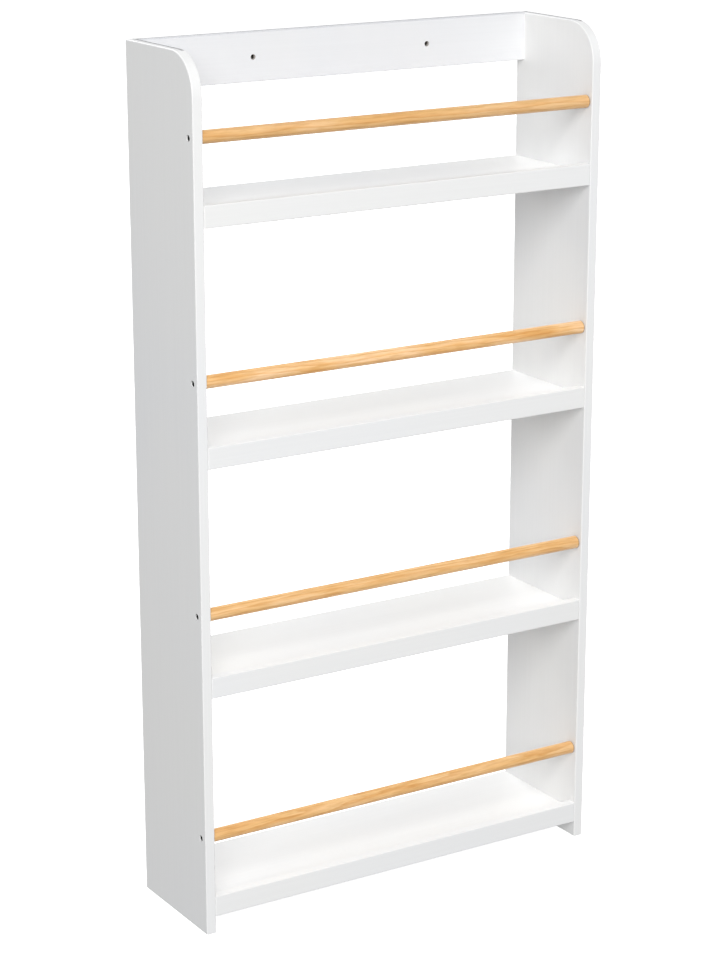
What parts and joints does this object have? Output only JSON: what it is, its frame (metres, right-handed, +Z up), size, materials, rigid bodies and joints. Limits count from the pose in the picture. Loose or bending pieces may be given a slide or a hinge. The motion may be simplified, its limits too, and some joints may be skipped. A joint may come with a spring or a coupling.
{
  "type": "narrow open bookcase with retaining rods",
  "caption": "Tall, narrow, open-backed white bookcase with shallow lipped shelves, pale wooden retaining rods across the front and a top rail for fixing to a wall.",
  "frame": {"origin": "on the floor, under the middle of the bookcase's width and depth", "axes": "+Z up, +Y from the front edges to the back, +X to the right as seen from the front"},
  "size_m": [0.53, 0.15, 1],
  "materials": {
    "white_lacquer": "white satin lacquer on fine fibreboard",
    "pine": "clear satin lacquer on pale pine",
    "black_steel": "black oxide, satin",
    "zinc_alloy": "die-cast zinc, dull",
    "plated_steel": "zinc plated, satin",
    "beech": "bare beech dowel"
  },
  "bodies": {
    "root": {"lip_dowels_1": "beech", "lip_dowels_2": "beech", "lip_dowels_3": "beech", "lip_dowels_4": "beech", "rail_cam_bolts": "plated_steel", "rail_cams": "zinc_alloy", "rail_dowels": "beech", "rod_1": "pine", "rod_2": "pine", "rod_3": "pine", "rod_4": "pine", "rod_screws_left": "black_steel", "rod_screws_right": "black_steel", "shelf_board_1": "white_lacquer", "shelf_board_2": "white_lacquer", "shelf_board_3": "white_lacquer", "shelf_board_4": "white_lacquer", "shelf_cam_bolts_1": "plated_steel", "shelf_cam_bolts_2": "plated_steel", "shelf_cam_bolts_3": "plated_steel", "shelf_cam_bolts_4": "plated_steel", "shelf_cams_1": "zinc_alloy", "shelf_cams_2": "zinc_alloy", "shelf_cams_3": "zinc_alloy", "shelf_cams_4": "zinc_alloy", "shelf_dowels_1": "beech", "shelf_dowels_2": "beech", "shelf_dowels_3": "beech", "shelf_dowels_4": "beech", "shelf_lip_1": "white_lacquer", "shelf_lip_2": "white_lacquer", "shelf_lip_3": "white_lacquer", "shelf_lip_4": "white_lacquer", "side_panel_left": "white_lacquer", "side_panel_right": "white_lacquer", "top_rail": "white_lacquer"}
  },
  "joints": []
}
